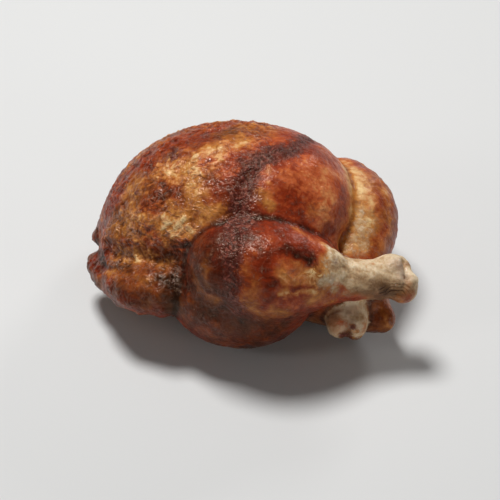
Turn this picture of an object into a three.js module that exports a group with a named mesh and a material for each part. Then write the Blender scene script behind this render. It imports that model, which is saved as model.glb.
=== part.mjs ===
// A whole roast chicken lying on its back: breast up, legs crossed at the tail end, wings
// folded along its sides. The skin is one closed surface, so the bird is one solid.
//
// Millimetres. +X runs from the neck to the tail, +Z is up, and the bird rests on z = 0 with
// the origin under the middle of its back. The near side, -Y, is the bird's right side.
//
// Each mass of meat is a distance function: negative inside, zero at the skin. Masses run
// together with a rounded fillet, and the zero surface is then netted into triangles.
import * as THREE from "three";

const { degToRad, clamp } = THREE.MathUtils;
const at = (x, y, z) => new THREE.Vector3(x, y, z);

// Driving dimensions
const TRUNK_LENGTH = 144;
const TRUNK_WIDTH = 112;
const TRUNK_HEIGHT = 106;
const TRUNK_CENTRE = at(-16, 8, 48);
const TRUNK_PITCH = -19; // degrees; the neck end lies lower than the tail end
const THIGH_LENGTH = 76;
const THIGH_WIDTH = 44;
const THIGH_HEIGHT = 58;
const CALF_RADIUS = 27.5;
const SHANK_RADIUS = 11.2;
const NEAR_ELBOW_SPREAD = 57; // from the bird's mid-plane
const FAR_ELBOW_SPREAD = 53;
const ELBOW_RADIUS = 13;
const WRIST_RADIUS = 9;
const WING_TIP_RADIUS = 5.5;
const TIE_RADIUS = 4;
const CREASE_RADIUS = 5;

// Fillets, by how sharply one mass meets the next
const SOFT = 20;
const FLESHY = 14;
const LOOSE = 7;
const SNUG = 5;
const TIGHT = 3;

// The net that the skin is drawn on
const NET_CELL = 4.25;
const NET_BOX = new THREE.Box3(at(-104, -88, -7.2), at(112, 86, 114));
const SPINE_STEPS = 5;
const PULLS = 3;
const NUDGE = 0.05;
const FLAT_SNAP = 0.2;

// An ellipsoid of three half-sizes, pitched about Y and then turned about Z.
function ellipsoid(centre, [a, b, c], { pitch = 0, yaw = 0 } = {}) {
  const turn = new THREE.Euler(0, degToRad(pitch), degToRad(yaw), "ZYX");
  const back = new THREE.Quaternion().setFromEuler(turn).invert();
  const q = at(0, 0, 0);
  return (p) => {
    q.copy(p).sub(centre).applyQuaternion(back);
    const scaled = Math.hypot(q.x / a, q.y / b, q.z / c) + 1e-9;
    const slope = Math.hypot(q.x / a ** 2, q.y / b ** 2, q.z / c ** 2) + 1e-9;
    return (scaled * (scaled - 1)) / slope;
  };
}

// A limb of round section: balls of changing radius strung on a smooth spine, with the cone
// that touches both balls between each two of them.
function limb(points, radii) {
  const spine = new THREE.CatmullRomCurve3(points, false, "catmullrom", 0.5);
  const girth = new THREE.SplineCurve(radii.map((radius, i) => new THREE.Vector2(i, radius)));
  const steps = (points.length - 1) * SPINE_STEPS;
  const cones = [];
  for (let i = 0; i < steps; i++) {
    const from = spine.getPoint(i / steps);
    const along = spine.getPoint((i + 1) / steps).sub(from);
    const span = along.length();
    const radius = girth.getPoint(i / steps).y;
    const taper = (radius - girth.getPoint((i + 1) / steps).y) / span;
    const lean = taper / Math.sqrt(1 - taper ** 2);
    cones.push({ from, along: along.divideScalar(span), span, radius, taper, lean });
  }
  const q = at(0, 0, 0);
  return (p) => {
    let least = Infinity;
    for (const { from, along, span, radius, taper, lean } of cones) {
      q.subVectors(p, from);
      const reach = q.dot(along);
      const aside = Math.sqrt(Math.max(q.lengthSq() - reach ** 2, 0));
      const ball = clamp(reach - aside * lean, 0, span);
      least = Math.min(least, q.addScaledVector(along, -ball).length() - radius + taper * ball);
    }
    return least;
  };
}

// The smaller of two distances, with the crease between them filled over a width k.
function fillet(a, b, k) {
  const h = Math.max(k - Math.abs(a - b), 0) / k;
  return Math.min(a, b) - (h * h * k) / 4;
}

const join = (first, ...others) => (p) =>
  others.reduce((d, [other, k]) => fillet(d, other(p), k), first(p));
const carve = (mass, ...hollows) => (p) =>
  hollows.reduce((d, [hollow, k]) => -fillet(-d, hollow(p), k), mass(p));

// A point given by how far out it lies from the mid-plane. side: -1 near, 1 far.
const beside = (side) => (x, out, z) => at(x, TRUNK_CENTRE.y + side * out, z);

function trunk() {
  const whole = ellipsoid(
    TRUNK_CENTRE,
    [TRUNK_LENGTH / 2, TRUNK_WIDTH / 2, TRUNK_HEIGHT / 2],
    { pitch: TRUNK_PITCH },
  );
  const back = ellipsoid(at(-12, 6, 28), [64, 46, 29]);
  const neckSkin = ellipsoid(at(-60, 6, 28), [20, 34, 18]);
  const belly = ellipsoid(at(48, -4, 32), [30, 34, 28]);
  const rearBreast = ellipsoid(at(20, 10, 60), [34.5, 41.5, 38], { pitch: -22, yaw: -6 });
  const tail = limb([at(58, -12, 24), at(72, -20, 19), at(79, -24, 19)], [15, 11, 8]);
  return join(
    whole,
    [back, SOFT],
    [neckSkin, FLESHY],
    [belly, FLESHY],
    [rearBreast, LOOSE],
    [tail, FLESHY],
  );
}

// The shallow crease that a tie left across the breast, in front of its rear part. Its path
// runs a little above the skin, so that only its underside cuts in.
function tieCrease() {
  const path = [
    at(0, -34, 91),
    at(2, -24, 99),
    at(6, -13, 104.5),
    at(12, -3, 106.5),
    at(22, 7, 106.5),
    at(28, 21, 103.5),
    at(30, 40, 94),
    at(28, 53, 82),
  ];
  return limb(path, path.map(() => TIE_RADIUS));
}

// The crease where the breast overhangs a folded wing.
function wingCrease(side) {
  const p = beside(side);
  return limb(
    [p(-76, 39, 47), p(-62, 48, 52), p(-48, 52, 56), p(-36, 54, 60), p(-27, 58, 55)],
    [CREASE_RADIUS - 1, CREASE_RADIUS, CREASE_RADIUS, CREASE_RADIUS, CREASE_RADIUS - 1],
  );
}

// The opening under the end of the breast, behind the crossed legs.
function vent() {
  return ellipsoid(at(66, -8, 54), [15, 13, 15]);
}

// The near leg lies over the other one and points straight back.
function nearLeg() {
  const drumstick = limb(
    [
      at(-1, -42, 61),
      at(18, -41, 60),
      at(38, -37, 57),
      at(56, -33, 53),
      at(77, -27, 50.5),
      at(86, -25, 49.5),
    ],
    [CALF_RADIUS - 3.5, CALF_RADIUS, CALF_RADIUS - 6.5, SHANK_RADIUS + 2, SHANK_RADIUS, 9.5],
  );
  const upperKnuckle = ellipsoid(at(84, -21, 56), [10.5, 8.5, 7.5]);
  const lowerKnuckle = ellipsoid(at(91, -27, 48.5), [8.5, 8, 11]);
  const thigh = ellipsoid(
    at(5, -43, 36),
    [THIGH_LENGTH / 2, THIGH_WIDTH / 2, THIGH_HEIGHT / 2],
    { yaw: 12 },
  );
  return join(drumstick, [upperKnuckle, TIGHT], [lowerKnuckle, TIGHT], [thigh, LOOSE]);
}

// The far leg folds round the end of the breast and crosses under the near one.
function farLeg() {
  const drumstick = limb(
    [at(46, 41, 49), at(54, 26, 46), at(60, -8, 37), at(61, -24, 31), at(62, -34, 27)],
    [CALF_RADIUS - 7.5, CALF_RADIUS - 3, 17, SHANK_RADIUS + 0.3, 9],
  );
  const knuckleSize = [7, 8.5, 9.5];
  const frontKnuckle = ellipsoid(at(57.3, -38, 25), knuckleSize);
  const rearKnuckle = ellipsoid(at(67.2, -36.5, 25), knuckleSize);
  const thigh = ellipsoid(
    at(28, 40, 32),
    [THIGH_LENGTH / 2 + 2, THIGH_WIDTH / 2, THIGH_HEIGHT / 2 - 1],
    { yaw: -16 },
  );
  return join(drumstick, [frontKnuckle, TIGHT], [rearKnuckle, TIGHT], [thigh, FLESHY]);
}

function shoulder(side) {
  const p = beside(side);
  return limb(
    [p(-64, 30, 44), p(-50, 42, 43), p(-38, 50, 42)],
    [ELBOW_RADIUS + 2, ELBOW_RADIUS + 1, ELBOW_RADIUS],
  );
}

// A folded wing past its shoulder: elbow to wrist, then the tip bent round the neck end.
function forewing(side, spread, tip) {
  const p = beside(side);
  const wrist = p(-74, 37, 26);
  const forearm = limb(
    [p(-38, spread, 39), p(-56, spread - 3.5, 35), wrist],
    [ELBOW_RADIUS, ELBOW_RADIUS - 0.5, WRIST_RADIUS],
  );
  const hand = limb(
    [wrist, ...tip.map((place) => p(...place))],
    [WRIST_RADIUS, WRIST_RADIUS - 1.5, WING_TIP_RADIUS],
  );
  return join(forearm, [hand, TIGHT]);
}

function bird() {
  const body = join(trunk(), [shoulder(-1), LOOSE], [shoulder(1), LOOSE]);
  const creased = carve(
    body,
    [tieCrease(), LOOSE],
    [wingCrease(-1), LOOSE],
    [wingCrease(1), LOOSE],
    [vent(), LOOSE],
  );
  const nearTip = [[-82, 30, 24], [-85, 25, 24]];
  const farTip = [[-82, 24, 28], [-87, -8, 28]];
  const skin = join(
    creased,
    [nearLeg(), SNUG],
    [farLeg(), TIGHT],
    [forewing(-1, NEAR_ELBOW_SPREAD, nearTip), SNUG],
    [forewing(1, FAR_ELBOW_SPREAD, farTip), SNUG],
  );
  return (p) => Math.max(skin(p), -p.z); // flat where it rests
}

// The mean of the points where the surface cuts a cell's twelve edges, in grid steps.
function middleOfCrossings(field, low, stride) {
  const sum = at(0, 0, 0);
  let crossings = 0;
  const base = low[0] * stride[0] + low[1] * stride[1] + low[2] * stride[2];
  for (let axis = 0; axis < 3; axis++) {
    const u = (axis + 1) % 3;
    const v = (axis + 2) % 3;
    for (const [du, dv] of [[0, 0], [1, 0], [0, 1], [1, 1]]) {
      const from = base + du * stride[u] + dv * stride[v];
      const a = field[from];
      const b = field[from + stride[axis]];
      if (a < 0 === b < 0) continue;
      const crossing = [...low];
      crossing[u] += du;
      crossing[v] += dv;
      crossing[axis] += a / (a - b);
      sum.add(at(...crossing));
      crossings++;
    }
  }
  return crossings ? sum.divideScalar(crossings) : null;
}

// Newton steps down the distance's own slope, onto the skin.
function pullOnto(distance, point) {
  for (let step = 0; step < PULLS; step++) {
    const d = distance(point);
    const slope = at(
      distance(at(point.x + NUDGE, point.y, point.z)) - d,
      distance(at(point.x, point.y + NUDGE, point.z)) - d,
      distance(at(point.x, point.y, point.z + NUDGE)) - d,
    ).divideScalar(NUDGE);
    point.addScaledVector(slope, -d / Math.max(slope.lengthSq(), 0.25));
  }
  if (Math.abs(point.z) < FLAT_SNAP) point.z = 0;
  return point;
}

// Calls visit(i, j, k) for every whole step of a grid between two corners.
function eachStep(low, high, visit) {
  for (let k = low; k < high[2]; k++)
    for (let j = low; j < high[1]; j++)
      for (let i = low; i < high[0]; i++) visit(i, j, k);
}

// A closed net over the zero surface of a distance function: one corner in each grid cell
// that the surface passes through, and four of them joined round each grid edge it cuts.
function net(distance, box, cell) {
  const count = box.getSize(at(0, 0, 0)).divideScalar(cell).ceil().addScalar(1).toArray();
  const inner = count.map((n) => n - 1);
  const stride = [1, count[0], count[0] * count[1]];
  const slot = (i, j, k) => i * stride[0] + j * stride[1] + k * stride[2];
  const place = (i, j, k) => at(i, j, k).multiplyScalar(cell).add(box.min);

  const field = new Float64Array(count[0] * count[1] * count[2]);
  eachStep(0, count, (i, j, k) => {
    field[slot(i, j, k)] = distance(place(i, j, k));
  });

  const corner = new Int32Array(field.length);
  const points = [];
  eachStep(0, inner, (i, j, k) => {
    const middle = middleOfCrossings(field, [i, j, k], stride);
    if (!middle) return;
    corner[slot(i, j, k)] = points.length;
    points.push(pullOnto(distance, place(...middle)));
  });

  const index = [];
  eachStep(1, inner, (i, j, k) => {
    const here = slot(i, j, k);
    const inside = field[here] < 0;
    for (let axis = 0; axis < 3; axis++) {
      if (inside === field[here + stride[axis]] < 0) continue;
      const u = stride[(axis + 1) % 3];
      const v = stride[(axis + 2) % 3];
      const ring = [here - u - v, here - v, here, here - u].map((cellSlot) => corner[cellSlot]);
      if (!inside) ring.reverse();
      const [a, b, c, d] = ring;
      const acFirst = points[a].distanceTo(points[c]) < points[b].distanceTo(points[d]);
      index.push(...(acFirst ? [a, b, c, a, c, d] : [a, b, d, b, c, d]));
    }
  });

  const geometry = new THREE.BufferGeometry().setFromPoints(points);
  geometry.setIndex(index);
  geometry.computeVertexNormals();
  return geometry;
}

const roastedSkin = new THREE.MeshStandardMaterial({ color: 0xa9602c, roughness: 0.42, metalness: 0 });

const chicken = new THREE.Mesh(net(bird(), NET_BOX, NET_CELL), roastedSkin);
chicken.name = "chicken";

const part = new THREE.Group();
part.add(chicken);

export default part;
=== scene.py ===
"""A whole roast chicken: its skin as one fine mesh over the CAD solid, with a roasted finish."""

import math

import bpy
import numpy as np
from mathutils import Matrix, Vector, noise


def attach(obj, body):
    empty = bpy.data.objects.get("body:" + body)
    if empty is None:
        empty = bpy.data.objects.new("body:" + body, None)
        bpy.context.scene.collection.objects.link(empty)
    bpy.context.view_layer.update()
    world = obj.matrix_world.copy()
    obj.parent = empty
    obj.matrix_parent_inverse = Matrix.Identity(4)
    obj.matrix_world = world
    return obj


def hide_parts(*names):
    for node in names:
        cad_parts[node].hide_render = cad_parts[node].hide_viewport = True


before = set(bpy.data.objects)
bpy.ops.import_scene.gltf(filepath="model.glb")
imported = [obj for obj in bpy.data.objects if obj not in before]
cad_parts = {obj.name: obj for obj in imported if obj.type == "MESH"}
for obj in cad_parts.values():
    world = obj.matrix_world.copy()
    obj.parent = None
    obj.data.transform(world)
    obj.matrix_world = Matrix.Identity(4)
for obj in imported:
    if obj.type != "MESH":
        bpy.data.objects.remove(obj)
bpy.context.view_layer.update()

MM = 0.001

# The same sizes as the CAD solid, in millimetres and degrees.
TRUNK_CENTRE = (-16, 8, 48)
TRUNK_PITCH = -19  # the neck end lies lower than the tail end
CALF_RADIUS = 27.5
SHANK_RADIUS = 11.2
ELBOW_RADIUS = 13
WRIST_RADIUS = 9
WING_TIP_RADIUS = 5.5
TIE_RADIUS = 4
CREASE_RADIUS = 5
SPINE_STEPS = 5  # balls to each stretch of a limb's spine

# How wide the crease between two masses is filled, in millimetres.
SOFT = 20
FLESHY = 14
LOOSE = 7
SNUG = 5
TIGHT = 3

# The net that the skin is drawn on, in millimetres.
NET_CELL = 1.15
NET_LOW = (-104, -88, -7.2)
NET_HIGH = (112, 86, 114)
BLOCK = 4  # cells along a block; only the blocks near the skin are looked at closely
SLOPE_STEP = 0.05
FLATTEST_SLOPE = 0.3
TINY = 1e-9


def smooth(value, low, high):
    """0 below low, 1 above high, with a soft step between."""
    t = np.clip((value - low) / (high - low), 0, 1)
    return t * t * (3 - 2 * t)


# Masses of meat, as distance functions


def turned(pitch, yaw):
    """Axes pitched about Y and then turned about Z, in degrees."""
    about_y = Matrix.Rotation(math.radians(pitch), 3, "Y")
    about_z = Matrix.Rotation(math.radians(yaw), 3, "Z")
    return np.array(about_z @ about_y)


def ellipsoid(centre, radii, pitch=0, yaw=0):
    """An ellipsoid of three half-sizes."""
    axes = turned(pitch, yaw)
    radii = np.array(radii, float)

    def distance(p):
        q = (p - centre) @ axes
        scaled = np.linalg.norm(q / radii, axis=1) + TINY
        slope = np.linalg.norm(q / radii**2, axis=1) + TINY
        return scaled * (scaled - 1) / slope

    return distance


def through(points, t):
    """A smooth curve through four points, between the middle two."""
    a, b, c, d = points
    square = 2 * a - 5 * b + 4 * c - d
    cube = 3 * b - a - 3 * c + d
    return 0.5 * (2 * b + (c - a) * t + square * t**2 + cube * t**3)


def limb(points, radii):
    """A limb of round section: balls of changing radius on a smooth spine, joined by touching cones."""
    spine = np.array(points, float)
    spine = np.vstack([2 * spine[0] - spine[1], spine, 2 * spine[-1] - spine[-2]])
    girth = np.array([radii[0], *radii, radii[-1]], float)
    balls = []
    last = len(points) - 1
    for i in range(last * SPINE_STEPS + 1):
        k = min(i // SPINE_STEPS, last - 1)
        t = i / SPINE_STEPS - k
        balls.append((through(spine[k : k + 4], t), through(girth[k : k + 4], t)))
    low = np.min([c - r for c, r in balls], axis=0)
    high = np.max([c + r for c, r in balls], axis=0)

    def distance(p):
        # Beyond the widest fillet, the distance to the limb's box will do.
        out = np.linalg.norm(np.maximum(np.maximum(low - p, p - high), 0), axis=1)
        close = out < SOFT
        q = p[close]
        least = np.full(len(q), np.inf)
        for (a, ra), (b, rb) in zip(balls, balls[1:]):
            span = np.linalg.norm(b - a)
            along = (b - a) / span
            taper = (ra - rb) / span
            from_a = q - a
            reach = from_a @ along
            aside = np.sqrt(np.maximum((from_a**2).sum(1) - reach**2, 0))
            ball = np.clip(reach - aside * taper / math.sqrt(1 - taper**2), 0, span)
            off = np.linalg.norm(from_a - ball[:, None] * along, axis=1)
            least = np.minimum(least, off - ra + taper * ball)
        out[close] = least
        return out

    return distance


def fillet(a, b, k):
    """The smaller of two distances, with the crease between them filled over a width k."""
    h = np.maximum(k - np.abs(a - b), 0) / k
    return np.minimum(a, b) - h * h * k / 4


def join(first, *others):
    """Masses run together, each with the width of its fillet."""

    def distance(p):
        d = first(p)
        for other, k in others:
            d = fillet(d, other(p), k)
        return d

    return distance


def carve(mass, *hollows):
    """A mass with hollows taken out, each with the width of its rounded rim."""

    def distance(p):
        d = mass(p)
        for hollow, k in hollows:
            d = -fillet(-d, hollow(p), k)
        return d

    return distance


def beside(side):
    """Points given by how far out they lie from the mid-plane. side: -1 near, 1 far."""
    return lambda x, out, z: (x, TRUNK_CENTRE[1] + side * out, z)


# The parts of the bird


def trunk():
    whole = ellipsoid(TRUNK_CENTRE, (72, 56, 53), pitch=TRUNK_PITCH)
    back = ellipsoid((-12, 6, 28), (64, 46, 29))
    neck_skin = ellipsoid((-60, 6, 28), (20, 34, 18))
    belly = ellipsoid((48, -4, 32), (30, 34, 28))
    rear_breast = ellipsoid((20, 10, 60), (34.5, 41.5, 38), pitch=-22, yaw=-6)
    tail = limb([(58, -12, 24), (72, -20, 19), (79, -24, 19)], (15, 11, 8))
    return join(
        whole,
        (back, SOFT),
        (neck_skin, FLESHY),
        (belly, FLESHY),
        (rear_breast, LOOSE),
        (tail, FLESHY),
    )


TIE_PATH = [
    (0, -34, 91),
    (2, -24, 99),
    (6, -13, 104.5),
    (12, -3, 106.5),
    (22, 7, 106.5),
    (28, 21, 103.5),
    (30, 40, 94),
    (28, 53, 82),
]


def tie_crease():
    return limb(TIE_PATH, [TIE_RADIUS] * len(TIE_PATH))


def wing_crease(side):
    p = beside(side)
    path = [p(-76, 39, 47), p(-62, 48, 52), p(-48, 52, 56), p(-36, 54, 60), p(-27, 58, 55)]
    end = CREASE_RADIUS - 1
    return limb(path, (end, CREASE_RADIUS, CREASE_RADIUS, CREASE_RADIUS, end))


def vent():
    return ellipsoid((66, -8, 54), (15, 13, 15))


def near_leg():
    drumstick = limb(
        [(-1, -42, 61), (18, -41, 60), (38, -37, 57), (56, -33, 53), (77, -27, 50.5), (86, -25, 49.5)],
        (CALF_RADIUS - 3.5, CALF_RADIUS, CALF_RADIUS - 6.5, SHANK_RADIUS + 2, SHANK_RADIUS, 9.5),
    )
    upper_knuckle = ellipsoid((84, -21, 56), (10.5, 8.5, 7.5))
    lower_knuckle = ellipsoid((91, -27, 48.5), (8.5, 8, 11))
    thigh = ellipsoid((5, -43, 36), (38, 22, 29), yaw=12)
    return join(drumstick, (upper_knuckle, TIGHT), (lower_knuckle, TIGHT), (thigh, LOOSE))


def far_leg():
    drumstick = limb(
        [(46, 41, 49), (54, 26, 46), (60, -8, 37), (61, -24, 31), (62, -34, 27)],
        (CALF_RADIUS - 7.5, CALF_RADIUS - 3, 17, SHANK_RADIUS + 0.3, 9),
    )
    front_knuckle = ellipsoid((57.3, -38, 25), (7, 8.5, 9.5))
    rear_knuckle = ellipsoid((67.2, -36.5, 25), (7, 8.5, 9.5))
    thigh = ellipsoid((28, 40, 32), (40, 22, 28), yaw=-16)
    return join(drumstick, (front_knuckle, TIGHT), (rear_knuckle, TIGHT), (thigh, FLESHY))


def shoulder(side):
    p = beside(side)
    path = [p(-64, 30, 44), p(-50, 42, 43), p(-38, 50, 42)]
    return limb(path, (ELBOW_RADIUS + 2, ELBOW_RADIUS + 1, ELBOW_RADIUS))


def forewing(side, spread, tip):
    """The folded wing from elbow to tip. spread: how far out the elbow lies; tip: places along it."""
    p = beside(side)
    wrist = p(-74, 37, 26)
    forearm = limb(
        [p(-38, spread, 39), p(-56, spread - 3.5, 35), wrist],
        (ELBOW_RADIUS, ELBOW_RADIUS - 0.5, WRIST_RADIUS),
    )
    hand = limb(
        [wrist, *(p(*place) for place in tip)],
        (WRIST_RADIUS, WRIST_RADIUS - 1.5, WING_TIP_RADIUS),
    )
    return join(forearm, (hand, TIGHT))


NEAR_LEG = near_leg()
FAR_LEG = far_leg()
NEAR_WING = forewing(-1, 57, [(-82, 30, 24), (-85, 25, 24)])
FAR_WING = forewing(1, 53, [(-82, 24, 28), (-87, -8, 28)])
BODY = carve(
    join(trunk(), (shoulder(-1), LOOSE), (shoulder(1), LOOSE)),
    (tie_crease(), LOOSE),
    (wing_crease(-1), LOOSE),
    (wing_crease(1), LOOSE),
    (vent(), LOOSE),
)
SKIN = join(BODY, (NEAR_LEG, SNUG), (FAR_LEG, TIGHT), (NEAR_WING, SNUG), (FAR_WING, SNUG))


def bird(p):
    """Distance to the skin, flat where the bird rests."""
    return np.maximum(SKIN(p), -p[:, 2])


# The net over the skin


def grid(counts):
    """Every place in a grid, as whole numbers along the three axes."""
    return np.stack(np.meshgrid(*[np.arange(n) for n in counts], indexing="ij"), -1).reshape(-1, 3)


def sample_near_skin(distance, low, blocks, cell):
    """The distance at every grid point, exact in the blocks that the skin passes near."""
    size = BLOCK * cell
    corner = grid(blocks)
    middle = distance(low + (corner + (BLOCK - 1) / (2 * BLOCK)) * size)
    near = np.abs(middle) < size
    values = np.repeat(middle[:, None], BLOCK**3, axis=1)
    where = low + (corner[near][:, None] * BLOCK + grid([BLOCK] * 3)[None]) * cell
    values[near] = distance(where.reshape(-1, 3)).reshape(-1, BLOCK**3)
    values = values.reshape(*blocks, BLOCK, BLOCK, BLOCK).transpose(0, 3, 1, 4, 2, 5)
    return values.reshape([n * BLOCK for n in blocks])


def shifted(values, step):
    """The value at one of the eight corners of every cell. step: 0 or 1 along each axis."""
    return values[tuple(slice(s, n - 1 + s) for s, n in zip(step, values.shape))]


def net_corners(field):
    """One corner in each cell that the skin passes through, in cells, and the number of each."""
    inside_corners = sum(shifted(field < 0, step).astype(np.int8) for step in grid([2] * 3))
    crossed = (inside_corners > 0) & (inside_corners < 8)
    cells = np.argwhere(crossed)
    number = np.full(crossed.shape, -1)
    number[crossed] = np.arange(len(cells))
    total = np.zeros((len(cells), 3))
    crossings = np.zeros(len(cells))
    for axis in range(3):
        u, v = (axis + 1) % 3, (axis + 2) % 3
        for du, dv in ((0, 0), (0, 1), (1, 0), (1, 1)):
            start = np.zeros(3, int)
            start[u], start[v] = du, dv
            end = start.copy()
            end[axis] = 1
            a = shifted(field, start)[crossed]
            b = shifted(field, end)[crossed]
            cut = (a < 0) != (b < 0)
            point = np.tile(start.astype(float), (len(cells), 1))
            point[:, axis] += np.where(cut, a / np.where(cut, a - b, 1), 0)
            total += point * cut[:, None]
            crossings += cut
    return cells + total / crossings[:, None], number


def net_faces(inside, number):
    """A four-sided face round each grid edge that the skin cuts, turned outwards."""
    faces = []
    for axis in range(3):
        u, v = (axis + 1) % 3, (axis + 2) % 3
        here = [slice(1, None)] * 3
        here[axis] = slice(0, -1)
        after = list(here)
        after[axis] = slice(1, None)
        starts_inside = inside[tuple(here)]
        at = np.argwhere(starts_inside != inside[tuple(after)])
        outward = starts_inside[tuple(at.T)]
        at += np.array([0 if i == axis else 1 for i in range(3)])
        ring = []
        for du, dv in ((1, 1), (0, 1), (0, 0), (1, 0)):
            cell_at = at.copy()
            cell_at[:, u] -= du
            cell_at[:, v] -= dv
            ring.append(number[tuple(cell_at.T)])
        ring = np.stack(ring, 1)
        ring[~outward] = ring[~outward][:, ::-1]
        faces.append(ring)
    return np.concatenate(faces)


def net(distance, low, high, cell):
    """Corners and four-sided faces over the surface where a distance is zero."""
    low = np.array(low, float)
    blocks = np.ceil((np.array(high) - low) / (cell * BLOCK)).astype(int)
    field = sample_near_skin(distance, low, blocks, cell)
    corners, number = net_corners(field)
    return corners * cell + low, net_faces(field < 0, number)


def slope_at(distance, p):
    """The distance and its unit slope at each point."""
    d = distance(p)
    steps = SLOPE_STEP * np.eye(3)
    slope = np.stack([distance(p + step) - d for step in steps], 1) / SLOPE_STEP
    length = np.maximum(np.linalg.norm(slope, axis=1, keepdims=True), FLATTEST_SLOPE)
    return d / length[:, 0], slope / length


def skin_mesh():
    """The net's corners drawn onto the smooth bird, its faces, and the way out at each corner."""
    corners, faces = net(bird, NET_LOW, NET_HIGH, NET_CELL * (1))
    d, normal = slope_at(bird, corners)
    corners = corners - d[:, None] * normal
    return corners, faces, normal


# Noise and brushes, in millimetres

NOISE_SEED = 5
SEED_SHIFT = 17.3  # how far apart the noises of two seeds are taken
DAB_EDGE = 0.9  # how wide a dab's soft edge is on either side, as a share of its reach

noise.seed_set(NOISE_SEED)


def nod(p, size, seed=0):
    """Smooth noise from about -1 to 1 at each point, in lumps of one size."""
    return np.array([noise.noise(v) for v in (p / size + SEED_SHIFT * seed).tolist()])


def drift(p, size, seed=0):
    """A smooth noise vector at each point."""
    return np.array([noise.noise_vector(v) for v in (p / size + SEED_SHIFT * seed).tolist()])


def combed(p, along, stretch):
    """The points drawn together along a direction, so that noise on them runs in strands that way."""
    along = np.array(along, float) / np.linalg.norm(along)
    return p - (p @ along)[:, None] * along * (1 - 1 / stretch)


def dab(p, places, reach):
    """1 near a place, or near a path through several, and 0 beyond its reach."""
    if len(places) == 1:
        off = np.linalg.norm((p - np.array(places[0])) / reach, axis=1) - 1
    else:
        radii = np.broadcast_to(reach, len(places)).astype(float)
        off = limb(places, radii)(p) / radii.mean()
    return 1 - smooth(off, -DAB_EDGE, DAB_EDGE)


def strongest(p, dabs):
    """The strongest of several dabs at each point. Each dab: how strong, its reach, and its places."""
    return np.max([how_strong * dab(p, places, reach) for how_strong, reach, *places in dabs], axis=0)


# How roasted and how red each part is where no dab says more.
BREAST_LOOK = (0.52, 0.48)
LEG_LOOK = (0.50, 0.85)
WING_LOOK = (0.62, 0.60)
BARE_LOOK = (0.2, 0.1)
# Darker in the grooves between parts, as painted shade with some juice stain; more roasted round the
# scorched path; darker and less red below, partly painted shade.
GROOVE_SHADE_AND_STAIN = 0.38
HALO_SPREAD = 1.7
HALO_ROAST = 0.2
HALO_REDNESS = 0.3
# Darker and less red towards the bottom: painted shade, partly the browner underside of the bird.
UNDERSIDE = (4, 34)
UNDER_SHADE_AND_ROAST = 0.12
UNDER_PALING = 0.35

# Where the skin browned, scorched, tore and dried. Each dab: how roasted it is, from pale to nearly
# black, how red it is, from golden to red-brown, its reach, and its places.
FAR_EDGE = [(-82, -12, 50), (-78, -2, 66), (-66, 4, 82), (-48, 12, 94), (-28, 24, 99), (-4, 30, 99)]
BREAST_DABS = [
    (0.58, 0.80, 11, *FAR_EDGE),
    (0.58, 0.30, 8, (-15, 16, 102), (-6, 27, 100), (10, 28, 98)),
    (0.64, 0.85, 5, (-72, -14, 66), (-70, -4, 74), (-66, 4, 79)),
    (0.42, 0.22, 10, (-61, -12, 78), (-51, -21, 80)),
    (0.64, 0.60, 12, (-44, -16, 88), (-37, -20, 89)),
    (0.34, 0.30, 6, (-40, -32, 78), (-32, -31, 83)),
    (0.47, 0.10, 8, (-70, -20, 60), (-60, -30, 62)),
    (0.58, 0.75, 4, (-53, -23, 77), (-48, -26, 78)),
    (0.22, 0.35, 7, (-47, -8, 91), (-31, -9, 97), (-16, 4, 102), (-6, 10, 103)),
    (0.20, 0.20, 5, (-32, -7, 97), (-27, -16, 95), (-25, -24, 91)),
    (0.30, 0.75, 6, (-20, -4, 101), (-12, -8, 101), (-9, -3, 102)),
    (0.26, 0.15, 7, (-18, -26, 91), (-19, -33, 86), (-11, -32, 88)),
    (0.64, 0.95, 4, (-18, -23, 93), (-12, -18, 96)),
    (0.66, 0.75, 4, (-65, -34, 54), (-57, -37, 57), (-42, -41, 64), (-28, -44, 69)),
    (0.62, 0.60, 5, (-20, -44, 77), (-14, -48, 79)),
    (0.00, 0.10, 5.5, (-39, -37, 73), (-31, -38, 76), (-23, -39, 78), (-17, -38, 80)),
    (0.60, 0.70, 2.5, (-50, -33, 69), (-44, -37, 67)),
    (0.30, 0.15, 4, (-11, -40, 84), (-8, -44, 83)),
]
REAR_BREAST_DABS = [
    (0.17, 0.90, 30, (38, 2, 84), (34, 20, 84)),
    (0.30, 0.80, 8, (16, -1, 99), (14, -12, 97)),
    (0.18, 0.35, 2, (12, -2, 100), (14, -13, 97)),
    (0.26, 0.10, 4, (9, -21, 94), (14, -23, 92)),
    (0.54, 1.00, 7, (26, -19, 90), (30, -22, 87)),
    (0.25, 0.50, 3.5, (36, -17, 87), (41, -14, 84)),
    (0.50, 0.80, 3.5, (32, -28, 82), (44, -22, 76), (55, -12, 68)),
    (0.50, 0.90, 5, (50, 9, 80), (51, -4, 73)),
    (0.40, 0.80, 9, (28, 22, 96), (38, 26, 90)),
]
FAR_BREAST_DABS = [
    (0.36, 0.20, 9, (-54, 42, 76), (-32, 50, 80)),
    (0.26, 0.25, 6, (-20, 52, 80), (-6, 54, 78)),
    (0.62, 0.85, 5, (-76, 22, 62), (-64, 38, 66), (-46, 52, 68)),
    (0.40, 0.10, 6, (-56, 52, 58), (-30, 62, 58), (-10, 64, 60)),
    (0.60, 0.70, 6, (-72, -4, 40), (-76, 14, 44), (-70, 30, 46)),
]
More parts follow.
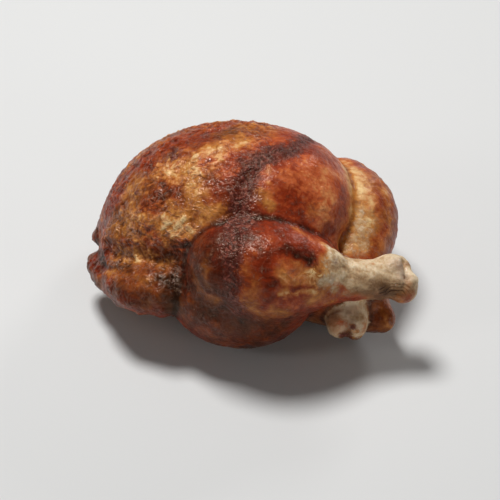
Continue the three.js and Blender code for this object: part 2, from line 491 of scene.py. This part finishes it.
NEAR_LEG_DABS = [
    (0.54, 1.00, 9, (10, -36, 87), (26, -38, 85), (38, -38, 81)),
    (0.68, 1.00, 6.5, (19, -56, 82), (24, -65, 72), (24, -69, 60)),
    (0.30, 0.35, 6, (11, -59, 81), (11, -65, 73), (12, -69, 60)),
    (0.30, 0.45, 4, (31, -58, 76), (33, -63, 69)),
    (0.05, 0.20, 8, (43, -52, 74), (50, -49, 68)),
    (0.96, 0.90, 4.5, (34, -50, 80), (41, -46, 78)),
    (0.75, 0.90, 3, (34, -63, 67), (38, -61, 66)),
    (0.32, 0.55, 3.5, (30, -31, 83), (38, -31, 80), (44, -33, 77), (49, -34, 75)),
    (0.44, 0.30, 7, (12, -69, 54), (24, -68, 52), (33, -65, 52)),
    (0.50, 0.95, 4, (35, -65, 59), (43, -59, 58)),
    (0.36, 0.40, 5, (48, -55, 57), (56, -50, 53)),
]
THIGH_DABS = [
    (0.79, 0.55, 22, (-16, -58, 64), (-6, -66, 46), (20, -62, 36)),
    (0.52, 0.20, 3, (-10, -58, 72), (-9, -64, 62)),
    (0.54, 0.25, 4, (-17, -58, 58), (-6, -64, 54)),
]
FAR_LEG_DABS = [
    (0.00, 0.20, 8, (44, 43, 72), (54, 29, 73), (60, 16, 69)),
    (0.02, 0.15, 9, (60, 6, 64), (60, -6, 58)),
    (0.38, 0.50, 9, (64, 48, 62), (73, 28, 62), (78, 12, 54), (77, -6, 46)),
    (0.34, 0.35, 7, (32, 62, 62), (52, 60, 58)),
    (0.68, 0.95, 6, (52, 66, 44), (30, 68, 40)),
    (0.34, 0.45, 5, (8, 60, 56), (14, 64, 42)),
]
WING_DABS = [
    (0.70, 1.00, 7, (-82, -24, 32), (-77, -31, 35)),
    (0.43, 0.20, 9, (-64, -37, 44), (-46, -46, 51)),
    (0.20, 0.55, 4, (-54, -43, 50), (-42, -48, 53)),
    (0.66, 0.60, 3, (-58, -46, 44), (-50, -51, 46)),
    (0.28, 0.30, 3.5, (-68, -40, 40), (-62, -44, 41)),
    (0.84, 0.40, 6, (-31, -56, 48), (-30, -58, 40)),
    (0.46, 0.70, 8, (-86, -2, 30), (-84, 14, 30)),
]
THIN_SKIN_DABS = [
    (0.05, 0.30, 1.8, (31, -65, 66), (34, -64, 67)),
    (0.15, 0.40, 1.2, (36, -63, 65), (40, -61, 65)),
    (0.05, 0.30, 1.5, (42, -59, 65), (47, -56, 62)),
    (0.20, 0.40, 1.2, (33, -65, 63), (40, -62, 63)),
    (0.12, 0.30, 1.5, (43, -54, 73), (49, -49, 71)),
    (0.12, 0.25, 1.3, (45, -56, 68), (52, -50, 66)),
]

SCORCH_PATH = [
    (25, 50, 82),
    (25, 32, 93),
    (21, 14, 99),
    (12, 7, 102),
    (5, 0, 102),
    (2, -12, 99),
    (0, -22, 92),
    (2, -36, 87),
    (2, -48, 85),
    (4, -62, 75),
    (8, -67, 60),
    (9, -68, 50),
]
SCORCH_REACH = (4, 4.5, 5, 5.5, 7, 7, 6, 8, 8, 5, 4, 3)
# Scorched spots: how strong, reach and place.
SCORCH_SPOTS = [
    (0.9, 5, (-46, 3, 92)),
    (0.9, 3, (-62, -13, 78)),
    (0.9, 6, (63, -46, 21)),
    (0.9, 4, (69, -44, 20)),
    (0.9, 4, (64, -46, 28)),
]
# Where a net of brown lines shows through the skin: how clear, reach and places.
NET_DABS = [
    (0.45, 8, (61, 5, 63), (64, -8, 56)),
    (0.6, 9, (-50, -14, 84), (-38, -22, 86)),
    (0.9, 6, (44, -52, 72), (48, -52, 66)),
    (0.35, 12, (24, -4, 97), (34, -16, 88)),
]

# Where the skin has shrunk off the shank, along x by height, how far its edge frays, and from
# where to where it thins out on the far shank, along -y.
TORN_HEIGHTS = (44, 50, 55, 60, 66, 76)
TORN_PLACES = (68, 66, 60, 54, 51, 50)
TORN_FRAY = 5
FAR_BARE_FROM = (20, 28)
# The bared end of a leg. Each dab: how pale, from brown to cream, how tanned, its reach, and its
# places.
BARE_DABS = [
    (1.00, 0.00, 6, (54, -34, 73)),
    (0.52, 0.15, 7, (53, -46, 69), (60, -45, 62)),
    (0.90, 0.10, 6, (66, -29, 64), (78, -26, 63), (86, -22, 64)),
    (0.66, 0.15, 7, (70, -38, 58), (80, -35, 57)),
    (0.18, 0.55, 6, (70, -42, 49), (86, -38, 46)),
    (0.30, 0.25, 5, (85, -37, 53), (93, -35, 51)),
    (0.50, 0.80, 3.5, (95, -31, 52), (96, -34, 48)),
    (0.95, 0.00, 3, (96, -24, 58), (99, -28, 54)),
    (0.10, 0.60, 1.5, (53, -34.5, 74)),
    # The far knuckle: cream sinew, made paler still as painted light where the near leg shades it.
    (0.92, 0.40, 12, (64, -40, 30)),
    (0.98, 0.00, 6, (64, -35, 37)),
    (0.75, 0.90, 5, (57, -44, 29)),
    (0.85, 0.50, 5, (71, -40, 29)),
]
# Where sinew shows through the thin skin of the far leg: how much, reach and places.
THIN_SKIN = (0.6, 8, (60, 8, 64), (62, -8, 57))
# Where bared sinew shows bluish grey, and where it is wrinkled: how strong, reach and places.
COOL_DABS = [
    (1.0, 1.5, (55, -39, 70)),
    (1.0, 2.2, (55, -48, 65), (54, -50, 62)),
    (1.0, 4, (87, -24, 63), (92, -29, 60)),
]
WRINKLED_DABS = [(1.0, 4, (86, -38, 52), (92, -36, 53))]
# Scraps of skin left on the bared end, as dabs of skin, and how well they cover it.
SCRAP_COVER = 0.75
SKIN_SCRAPS = [
    (0.45, 0.85, 2.2, (57, -31, 69), (64, -29, 66), (70, -27, 65)),
    (0.38, 0.80, 3, (58, -47, 60), (63, -46, 56)),
    (0.50, 0.80, 3.5, (64, -43, 49), (70, -41, 47)),
    (0.55, 0.70, 4, (94, -37, 47)),
    (0.34, 0.60, 4, (57, -45, 30)),
    (0.35, 0.40, 4, (71, -41, 27)),
]


def towards(mark, goal, share):
    """Moves a mark towards a goal, by a share of the way at each point."""
    mark += (goal - mark) * share


def paint(p, roast_and_shade, redness, dabs):
    """Dabs laid over the skin one after another, as listed."""
    for how_roasted, how_red, reach, *places in dabs:
        on = dab(p, places, reach)
        towards(roast_and_shade, how_roasted, on)
        towards(redness, how_red, on)


def wing_share(near_wing, far_wing):
    """1 on the wings and 0 off them, from the distances to both."""
    return 1 - smooth(np.minimum(near_wing, far_wing), 0, 3)


def dabbed(p, wavy, frayed, legs, wing):
    """How roasted and how red each point is, from the dabs. The places come plain, wavy and frayed."""
    roast_and_shade = BREAST_LOOK[0] + 0.10 * nod(p, 30)
    redness = BREAST_LOOK[1] + 0.2 * nod(p, 26, seed=2)
    paint(wavy, roast_and_shade, redness, FAR_BREAST_DABS + BREAST_DABS + REAR_BREAST_DABS)
    towards(roast_and_shade, LEG_LOOK[0], legs)
    towards(redness, LEG_LOOK[1], legs)
    paint(wavy, roast_and_shade, redness, THIGH_DABS + NEAR_LEG_DABS + FAR_LEG_DABS)
    towards(roast_and_shade, WING_LOOK[0] + 0.2 * nod(p, 12, seed=3), wing)
    towards(redness, WING_LOOK[1] + 0.4 * nod(p, 10, seed=4), wing)
    paint(wavy, roast_and_shade, redness, WING_DABS)
    paint(frayed, roast_and_shade, redness, THIN_SKIN_DABS)
    return roast_and_shade, redness


def bared(p, wavy, in_near_leg, in_far_leg):
    """How bare the near shank and the far knuckle are, and how thin the skin of the far leg is."""
    torn = np.interp(p[:, 2], TORN_HEIGHTS, TORN_PLACES)
    torn += TORN_FRAY * nod(combed(p, (1, 0, 0), 2.5), TORN_FRAY, seed=5)
    bare = in_near_leg * smooth(p[:, 0], torn - 3, torn + 5)
    bare = np.maximum(bare, in_far_leg * smooth(-wavy[:, 1], *FAR_BARE_FROM))
    how_thin, reach, *places = THIN_SKIN
    return np.maximum(bare, how_thin * in_far_leg * dab(wavy, places, reach))


def browning(p):
    """The look of the skin at each point: each mark is a number from 0 to 1."""
    parts = [part(p) for part in (BODY, NEAR_LEG, FAR_LEG, NEAR_WING, FAR_WING)]
    body, near_leg, far_leg, near_wing, far_wing = parts
    wing = wing_share(near_wing, far_wing)
    in_near_leg = 1 - smooth(near_leg - np.minimum(body, far_leg), -3, 3)
    in_far_leg = 1 - smooth(far_leg - np.minimum(body, near_leg), -2, 2)
    groove = 1 - smooth(np.sort(np.stack(parts), axis=0)[1], 0.5, 4)
    wavy = p + 4.5 * drift(p, 14) + 2.5 * drift(p, 6, seed=1) + 1.2 * drift(p, 3, seed=2)
    frayed = p + 1.5 * drift(p, 5, seed=8) + 0.8 * drift(p, 2.2, seed=23)

    roast_and_shade, redness = dabbed(p, wavy, frayed, np.maximum(in_near_leg, in_far_leg), wing)
    halo = dab(wavy, SCORCH_PATH, HALO_SPREAD * np.array(SCORCH_REACH))
    under = 1 - smooth(p[:, 2], *UNDERSIDE)
    # Painted shade in the grooves between parts, with some juice stain, plus a random roast mottle.
    roast_and_shade += GROOVE_SHADE_AND_STAIN * groove + 0.14 * nod(wavy, 9, seed=5)
    roast_and_shade += HALO_ROAST * halo
    # Painted shade: darker towards the bottom, partly the browner underside of the bird.
    roast_and_shade += UNDER_SHADE_AND_ROAST * under
    redness += 0.15 * nod(wavy, 10, seed=7)
    redness += HALO_REDNESS * halo
    # Less red towards the bottom, along with the painted shade there.
    redness -= UNDER_PALING * under
    scorch = np.maximum(dab(wavy, SCORCH_PATH, SCORCH_REACH), strongest(wavy, SCORCH_SPOTS))

    bare = bared(p, wavy, in_near_leg, in_far_leg)
    towards(roast_and_shade, BARE_LOOK[0], bare)
    towards(redness, BARE_LOOK[1], bare)
    pale = 0.6 + 0.2 * nod(p, 9, seed=16)
    for how_pale, how_tanned, reach, *places in BARE_DABS:
        on = bare * dab(frayed, places, reach)
        towards(pale, how_pale, on)
        towards(redness, how_tanned, on)
    paint(wavy, roast_and_shade, redness, SKIN_SCRAPS)
    for _, _, reach, *places in SKIN_SCRAPS:
        bare *= 1 - SCRAP_COVER * dab(wavy, places, reach)
    bare *= 1 - smooth(scorch, 0.2, 0.8)
    return {
        # How roasted, with the painted shade of the grooves and the underside added in.
        "roast_and_shade": roast_and_shade,
        "redness": redness,
        "scorch": scorch,
        "bare": bare,
        "pale": pale,
        "cool": strongest(frayed, COOL_DABS),
        "net": strongest(wavy, NET_DABS),
        "wrinkled": strongest(wavy, WRINKLED_DABS),
    }


# The low relief of the skin

# Small lumps and hollows: height, reach and places.
SWELLINGS = [
    (1.6, 5, (53, -36, 72), (57, -34, 70)),
    (-3.0, 2.2, (91, -19, 62), (93, -24, 61), (93, -29, 58)),
    (-1.6, 2, (93, -29, 58), (92, -34, 54)),
    (1.3, 3, (98, -26, 55)),
    (0.7, 3, (87, -24, 63)),
    (-1.2, 2.5, (62, -44, 34), (62, -46, 24)),
    (0.8, 5, (-46, -46, 50)),
    (-0.8, 4, (-58, -42, 46)),
    (0.8, 5, (-69, -36, 40)),
]
# The far knuckle, which is crumpled all over: strength, reach and place.
FAR_KNUCKLE = (1.0, 8, (64, -42, 26))
BARE_SHRINKAGE = 0.6  # how far bared sinew lies below the skin
RESTING_EDGE = (1, 6)  # the heights between which the relief fades to the flat


def relief(p, marks):
    """How far the skin stands above the smooth bird, in millimetres. Adds the marks puff and loose."""
    body = BODY(p)
    near_leg = 1 - smooth(NEAR_LEG(p) - body, -3, 3)
    far_leg = 1 - smooth(FAR_LEG(p) - body, -3, 3)
    wing = wing_share(NEAR_WING(p), FAR_WING(p))
    rear = smooth(p[:, 0], 2, 12)
    taut = np.maximum(np.maximum(rear, near_leg), np.maximum(far_leg, 0.45 * wing))
    loose = (1 - 0.75 * taut) * np.clip(0.85 + 0.7 * nod(p, 24, seed=26), 0.4, 1.0)

    rolling = 0.9 * nod(p, 24, seed=7) + 0.4 * nod(p, 11, seed=8)
    puffed = combed(p + 5 * drift(p, 9, seed=6), (0.7, 0.3, 0.5), 1.8)
    puffs = 0.8 * np.abs(nod(puffed, 5, seed=9)) + 0.7 * np.abs(nod(puffed, 2.8, seed=10))
    folded = combed(p + 6 * drift(p, 11, seed=22), (0.5, -0.6, 0.6), 1.6)
    folds = 1 - smooth(np.abs(nod(folded, 7, seed=21)), 0, 0.22)
    creased = combed(p + 6 * drift(p, 14, seed=18), (0.6, 0.2, -0.7), 2.5)
    creases = 0.5 * np.abs(nod(creased, 4.5, seed=19)) + 0.35 * np.abs(nod(creased, 2.6, seed=20))
    ripples = (1 - wing) * taut * creases
    crumbs = 0.8 * np.abs(nod(p, 3, seed=13)) + 0.4 * nod(p, 6, seed=14) - 0.2
    knobs = 1.1 * nod(p, 8, seed=15) + 0.8 * np.abs(nod(p, 4, seed=17)) - 0.4
    crumpled = np.abs(nod(p + 2 * drift(p, 6, seed=25), 4, seed=24)) - 0.2
    swell = strongest(p, [FAR_KNUCKLE]) * crumpled
    for height, reach, *places in SWELLINGS:
        swell += height * dab(p, places, reach)

    marks["puff"] = (puffs + 0.4 * folds) * loose + ripples
    marks["loose"] = loose
    skin = rolling + (1.5 * puffs + 0.7 * folds - 0.8) * loose + ripples
    skin = skin + marks["scorch"] * crumbs + wing * knobs + swell - BARE_SHRINKAGE * marks["bare"]
    return skin * smooth(p[:, 2], *RESTING_EDGE)


def make_piece(name, corners, faces):
    mesh = bpy.data.meshes.new(name)
    mesh.from_pydata((corners * MM).tolist(), [], faces.tolist())
    mesh.shade_smooth()
    piece = bpy.data.objects.new(name, mesh)
    bpy.context.scene.collection.objects.link(piece)
    return piece


def write_marks(piece, marks):
    for name, values in marks.items():
        mark = piece.data.attributes.new(name, "FLOAT", "POINT")
        mark.data.foreach_set("value", np.clip(values, 0, 1).astype(np.float32))


# The roasted finish

# Skin from unroasted to nearly black, burnt skin, and bared sinew from brown to cream. Each shade:
# where it lies from 0 to 1, and its colour in 8-bit display values.
GOLDEN_SKIN = [
    (0.0, (236, 200, 144)),
    (0.25, (196, 130, 62)),
    (0.5, (144, 82, 34)),
    (0.75, (88, 44, 16)),
    (1.0, (38, 18, 8)),
]
RUDDY_SKIN = [
    (0.0, (224, 150, 92)),
    (0.25, (190, 92, 50)),
    (0.5, (142, 48, 20)),
    (0.75, (92, 24, 8)),
    (1.0, (38, 12, 5)),
]
BURNT_SKIN = [(0.2, (36, 10, 9)), (0.5, (76, 26, 21)), (0.8, (128, 62, 52))]
SINEW = [(0.0, (70, 44, 28)), (0.35, (136, 102, 72)), (0.65, (194, 162, 124)), (1.0, (234, 212, 178))]
# The pale colour of the painted highlight laid along the threads and flecks.
PAINTED_SHEEN_THREAD = (216, 172, 146)
TANNED_SINEW = (168, 98, 52)
COOL_SINEW = (148, 136, 146)
GREASE_TINT = (255, 200, 150)
# Where the wrinkles of the near knuckle spread from, and how far apart they lie, in millimetres.
WRINKLE_CENTRE = (88, -38, 44)
WRINKLE_SPACING = 2.0
BUMP_HEIGHT = 1.0
FLESH_DEPTH = 2


def linear(value):
    """The light of a display value from 0 to 1."""
    return value / 12.92 if value <= 0.04045 else ((value + 0.055) / 1.055) ** 2.4


def colour(red, green, blue):
    """A colour from 8-bit display values."""
    return (linear(red / 255), linear(green / 255), linear(blue / 255), 1)


class Finish:
    """A material, put together step by step from noise, marks and colours. Sizes in millimetres."""

    def __init__(self, name):
        self.material = bpy.data.materials.new(name)
        self.material.use_nodes = True
        self.tree = self.material.node_tree
        self.shader = self.tree.nodes["Principled BSDF"]
        self.place = self.tree.nodes.new("ShaderNodeTexCoord").outputs["Object"]

    def step(self, kind, inputs, **settings):
        node = self.tree.nodes.new("ShaderNode" + kind)
        for setting, value in settings.items():
            setattr(node, setting, value)
        for socket, value in inputs.items():
            self.feed(node.inputs[socket], value)
        return node

    def feed(self, socket, value):
        if isinstance(value, bpy.types.NodeSocket):
            self.tree.links.new(value, socket)
        else:
            socket.default_value = value

    def shade(self, name, value):
        """Feeds one of the shader's own sockets."""
        self.feed(self.shader.inputs[name], value)

    def mark(self, name):
        return self.step("Attribute", {}, attribute_name=name).outputs["Fac"]

    def grain(self, size, detail, bend=0.0, place=None):
        """Noise about 0, in lumps of one size."""
        place = place or self.place
        inputs = {"Vector": place, "Scale": 1 / (size * MM), "Detail": detail, "Distortion": bend}
        return self.maths("SUBTRACT", self.step("TexNoise", inputs).outputs["Fac"], 0.5)

    def swirled(self, size, push):
        """The place pushed about by noise of one size, so that a pattern on it bends."""
        inputs = {"Vector": self.place, "Scale": 1 / (size * MM), "Detail": 1.0}
        blown = self.step("TexNoise", inputs).outputs["Color"]
        centred = self.vector_maths("SUBTRACT", {0: blown, 1: (0.5, 0.5, 0.5)})
        pushed = self.vector_maths("SCALE", {0: centred, "Scale": push * MM})
        return self.vector_maths("ADD", {0: self.place, 1: pushed})

    def strands(self, size, detail, place, squeeze, turn):
        """Noise that runs in strands, on a place squeezed along one way."""
        drawn_out = self.step("Mapping", {"Vector": place, "Rotation": turn, "Scale": squeeze})
        return self.grain(size, detail, place=drawn_out.outputs[0])

    def rings(self, centre, spacing):
        """Waves from -1 to 1 spreading unevenly from a point."""
        middle = tuple(c * MM for c in centre)
        away = self.step("VectorMath", {0: self.swirled(6, 5), 1: middle}, operation="DISTANCE")
        return self.maths("SINE", self.times(away.outputs["Value"], 2 * math.pi / (spacing * MM)))

    def vector_maths(self, how, inputs):
        return self.step("VectorMath", inputs, operation=how).outputs[0]

    def maths(self, how, a, b=0.0):
        return self.step("Math", {0: a, 1: b}, operation=how).outputs[0]

    def times(self, a, b):
        return self.maths("MULTIPLY", a, b)

    def near_zero(self, value, width):
        """1 where a value is 0, and 0 where it is more than a width away."""
        return self.between(self.maths("ABSOLUTE", value), width, 0.0)

    def add(self, base, *amounts):
        """The base plus each amount times its weight."""
        for amount, weight in amounts:
            node = self.step("Math", {0: amount, 1: weight, 2: base}, operation="MULTIPLY_ADD")
            base = node.outputs[0]
        return base

    def between(self, value, low, high):
        """0 at low, 1 at high, with a soft step between."""
        inputs = {"Value": value, "From Min": low, "From Max": high}
        return self.step("MapRange", inputs, interpolation_type="SMOOTHSTEP").outputs[0]

    def ramp(self, value, stops):
        node = self.step("ValToRGB", {"Fac": value})
        elements = node.color_ramp.elements
        while len(elements) < len(stops):
            elements.new(1.0)
        for element, (at, shade) in zip(elements, stops):
            element.position = at
            element.color = colour(*shade)
        return node.outputs["Color"]

    def mix(self, amount, a, b):
        return self.step("Mix", {0: amount, 6: a, 7: b}, data_type="RGBA").outputs[2]


class RoastedSkin(Finish):
    """Browned and blistered skin that gives way to bared sinew at the ends of the legs."""

    def __init__(self, name):
        super().__init__(name)
        self.redness = self.mark("redness")
        self.scorch = self.mark("scorch")
        self.bare = self.mark("bare")
        self.loose = self.mark("loose")
        self.broad = self.grain(8, 2, 0.3)
        self.mottle = self.grain(3, 3, 0.5)
        self.fine = self.grain(1.3, 2, 0.3)
        self.stringy = self.times(
            self.strands(2.6, 1.5, self.swirled(5, 7), (0.45, 1, 1), (0, 0.5, 0.4)), self.loose
        )
        self.lengthwise = self.strands(6, 2, self.place, (0.25, 1, 1), (0, 0, -0.23))
        self.wrinkled = self.wrinkles()
        self.thread = self.sheen_threads()

    def sheen_threads(self):
        """Threads on loose skin, and flecks on loose and on scorched skin, in patches, that carry a
        painted pale highlight as well as a glossier coat and a little relief.
        """
        fibres = self.strands(3.2, 1, self.swirled(9, 9), (1, 1, 0.35), (0.3, 0.6, 0))
        threads = self.times(self.near_zero(fibres, 0.08), self.loose)
        strokes = self.strands(2, 1.5, self.swirled(8, 6), (0.4, 1, 1), (0.5, 0.3, 0.9))
        rough = self.maths("MAXIMUM", self.between(self.loose, 0.25, 0.6), self.scorch)
        flecks = self.times(self.between(strokes, 0.08, 0.24), self.times(rough, 0.7))
        patches = self.between(self.add(0.5, (self.broad, 1.6), (self.mottle, 1.0)), 0.15, 0.8)
        return self.times(self.maths("MAXIMUM", threads, flecks), patches)

    def wrinkles(self):
        rings = self.rings(WRINKLE_CENTRE, WRINKLE_SPACING)
        rings = self.between(self.add(rings, (self.mottle, 2.5)), 0.1, 1.0)
        return self.times(rings, self.mark("wrinkled"))

    def browned(self):
        """The colour of roasted skin, from golden to red-brown, darker where it is more roasted and
        where shade is painted, with a painted highlight on raised crests.
        """
        netting = self.near_zero(self.grain(6, 3, place=self.swirled(6, 6)), 0.09)
        tone = self.add(
            self.mark("roast_and_shade"),
            # Paler on the raised puffs and darker between them: painted highlight and shade following
            # the relief.
            (self.maths("SUBTRACT", self.mark("puff"), 0.35), -0.35),
            (self.broad, 0.35),
            (self.mottle, 0.3),
            (self.times(self.mottle, self.loose), 0.2),
            (self.fine, 0.15),
            (self.times(self.fine, self.loose), 0.15),
            # Paler along the raised strands: a painted highlight on the crests of the wrinkles.
            (self.stringy, -0.8),
            (self.times(netting, self.mark("net")), 0.35),
        )
        ruddy = self.between(self.add(self.redness, (self.mottle, 0.25), (self.broad, 0.6)), 0.1, 0.9)
        return self.mix(ruddy, self.ramp(tone, GOLDEN_SKIN), self.ramp(tone, RUDDY_SKIN))

    def scorched(self, skin):
        burnt = self.ramp(self.add(0.5, (self.mottle, 1.4), (self.fine, 1.0)), BURNT_SKIN)
        scorched = self.add(self.scorch, (self.mottle, 1.6), (self.fine, 0.8))
        return self.mix(self.between(scorched, 0.15, 0.9), skin, burnt)

    def sinew(self):
        """The colour of bared sinew, from brown to cream, tanned or bluish in places."""
        worn = self.add(
            self.mark("pale"),
            (self.lengthwise, 1.1),
            (self.mottle, 0.7),
            (self.fine, 0.4),
            (self.wrinkled, -0.32),
        )
        tanned = self.between(self.add(self.redness, (self.mottle, 0.8)), 0.2, 1.0)
        sinew = self.mix(self.times(tanned, 0.7), self.ramp(worn, SINEW), colour(*TANNED_SINEW))
        return self.mix(self.times(self.mark("cool"), 0.28), sinew, colour(*COOL_SINEW))

    def bump(self):
        height = self.add(
            0.0,
            (self.stringy, 1.3),
            (self.thread, 0.25),
            (self.mottle, 0.35),
            (self.fine, 0.25),
            (self.wrinkled, -0.3),
            (self.times(self.lengthwise, self.bare), 0.8),
            (self.times(self.fine, self.scorch), 0.6),
        )
        inputs = {"Height": height, "Strength": 1.0, "Distance": BUMP_HEIGHT * MM}
        return self.step("Bump", inputs).outputs["Normal"]


def roasted_skin():
    finish = RoastedSkin("roasted_skin")
    skin = finish.scorched(finish.browned())
    # Painted highlight: a pale sheen mixed in along the threads and flecks.
    skin = finish.mix(finish.times(finish.thread, 0.25), skin, colour(*PAINTED_SHEEN_THREAD))
    bared = finish.add(finish.bare, (finish.mottle, 1.2), (finish.fine, 0.6))
    skin = finish.mix(finish.between(bared, 0.1, 0.95), skin, finish.sinew())
    roughness = finish.add(
        0.4, (finish.broad, 0.25), (finish.mottle, 0.3), (finish.thread, -0.08), (finish.bare, 0.1)
    )
    bump = finish.bump()
    finish.shade("Base Color", skin)
    finish.shade("Roughness", roughness)
    finish.shade("Coat Weight", finish.add(0.15, (finish.thread, 0.7)))
    finish.shade("Coat Roughness", 0.15)
    finish.shade("Normal", bump)
    finish.shade("Coat Normal", bump)
    finish.shade("Specular IOR Level", 0.25)
    finish.shade("Specular Tint", colour(*GREASE_TINT))
    finish.shade("Subsurface Weight", 0.06)
    finish.shade("Subsurface Radius", (1.0, 0.35, 0.15))
    finish.shade("Subsurface Scale", FLESH_DEPTH * MM)
    return finish.material


corners, faces, normal = skin_mesh()
marks = browning(corners)
corners = corners + normal * relief(corners, marks)[:, None]
skin = make_piece("roasted_skin", corners, faces)
write_marks(skin, marks)
skin.data.materials.append(roasted_skin())


# Stage, lights and camera, in metres and degrees

FLOOR_HALF = 3.0
FLOOR_HEIGHT = -0.0004
FLOOR_PAINT = (0.72, 0.72, 0.71, 1)
FLOOR_ROUGHNESS = 0.7
# Soft round lamps: name, place, width and watts.
LAMPS = [
    ("key", (-0.35, 0.25, 1.4), 0.45, 19),
    ("fill", (1.3, -0.8, 0.5), 0.6, 2.4),
    ("glint", (-1.1, -0.9, 0.9), 0.4, 1.6),
    ("back", (0.5, 1.2, 0.7), 0.4, 3.5),
]
LAMP_TARGET = (0, 0, 0.05)
ROOM_LIGHT = 0.08
CAMERA_ELEVATION = 43.5
CAMERA_AZIMUTH = 12
CAMERA_DISTANCE = 1.3714
CAMERA_RISE = 0.025  # how far above the row origin the camera aims
LENS_MM = 172.8
SENSOR_MM = 36


def aim(thing, eye, target):
    thing.location = eye
    thing.rotation_euler = (Vector(target) - Vector(eye)).to_track_quat("-Z", "Y").to_euler()


def make_floor():
    ends = ((-1, -1), (1, -1), (1, 1), (-1, 1))
    corners = [(u * FLOOR_HALF, v * FLOOR_HALF, FLOOR_HEIGHT) for u, v in ends]
    mesh = bpy.data.meshes.new("floor")
    mesh.from_pydata(corners, [], [(0, 1, 2, 3)])
    floor = bpy.data.objects.new("floor", mesh)
    bpy.context.scene.collection.objects.link(floor)
    pale = bpy.data.materials.new("pale_floor")
    pale.use_nodes = True
    shader = pale.node_tree.nodes["Principled BSDF"]
    shader.inputs["Base Color"].default_value = FLOOR_PAINT
    shader.inputs["Roughness"].default_value = FLOOR_ROUGHNESS
    mesh.materials.append(pale)


def make_lamp(name, eye, width, watts):
    lamp = bpy.data.lights.new(name, "AREA")
    lamp.shape = "DISK"
    lamp.size = width
    lamp.energy = watts
    thing = bpy.data.objects.new(name, lamp)
    bpy.context.scene.collection.objects.link(thing)
    aim(thing, eye, LAMP_TARGET)


def make_camera():
    """500 by 500 pixels see the row origin a little below the middle, as the photo does."""
    elevation = math.radians(CAMERA_ELEVATION)
    azimuth = math.radians(CAMERA_AZIMUTH)
    away = Vector((-math.sin(azimuth), math.cos(azimuth), 0))
    up = away * math.sin(elevation) + Vector((0, 0, math.cos(elevation)))
    forward = away * math.cos(elevation) - Vector((0, 0, math.sin(elevation)))
    lens = bpy.data.cameras.new("camera")
    lens.lens = LENS_MM
    lens.sensor_width = SENSOR_MM
    camera = bpy.data.objects.new("camera", lens)
    bpy.context.scene.collection.objects.link(camera)
    aim(camera, -forward * CAMERA_DISTANCE, up * CAMERA_RISE)
    bpy.context.scene.camera = camera


def make_world():
    world = bpy.data.worlds.new("studio")
    world.use_nodes = True
    background = world.node_tree.nodes["Background"]
    background.inputs["Color"].default_value = (1, 1, 1, 1)
    background.inputs["Strength"].default_value = ROOM_LIGHT
    bpy.context.scene.world = world


make_floor()
for lamp in LAMPS:
    make_lamp(*lamp)
make_camera()
make_world()
bpy.context.scene.view_settings.view_transform = "Standard"

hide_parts("chicken")
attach(skin, "root")
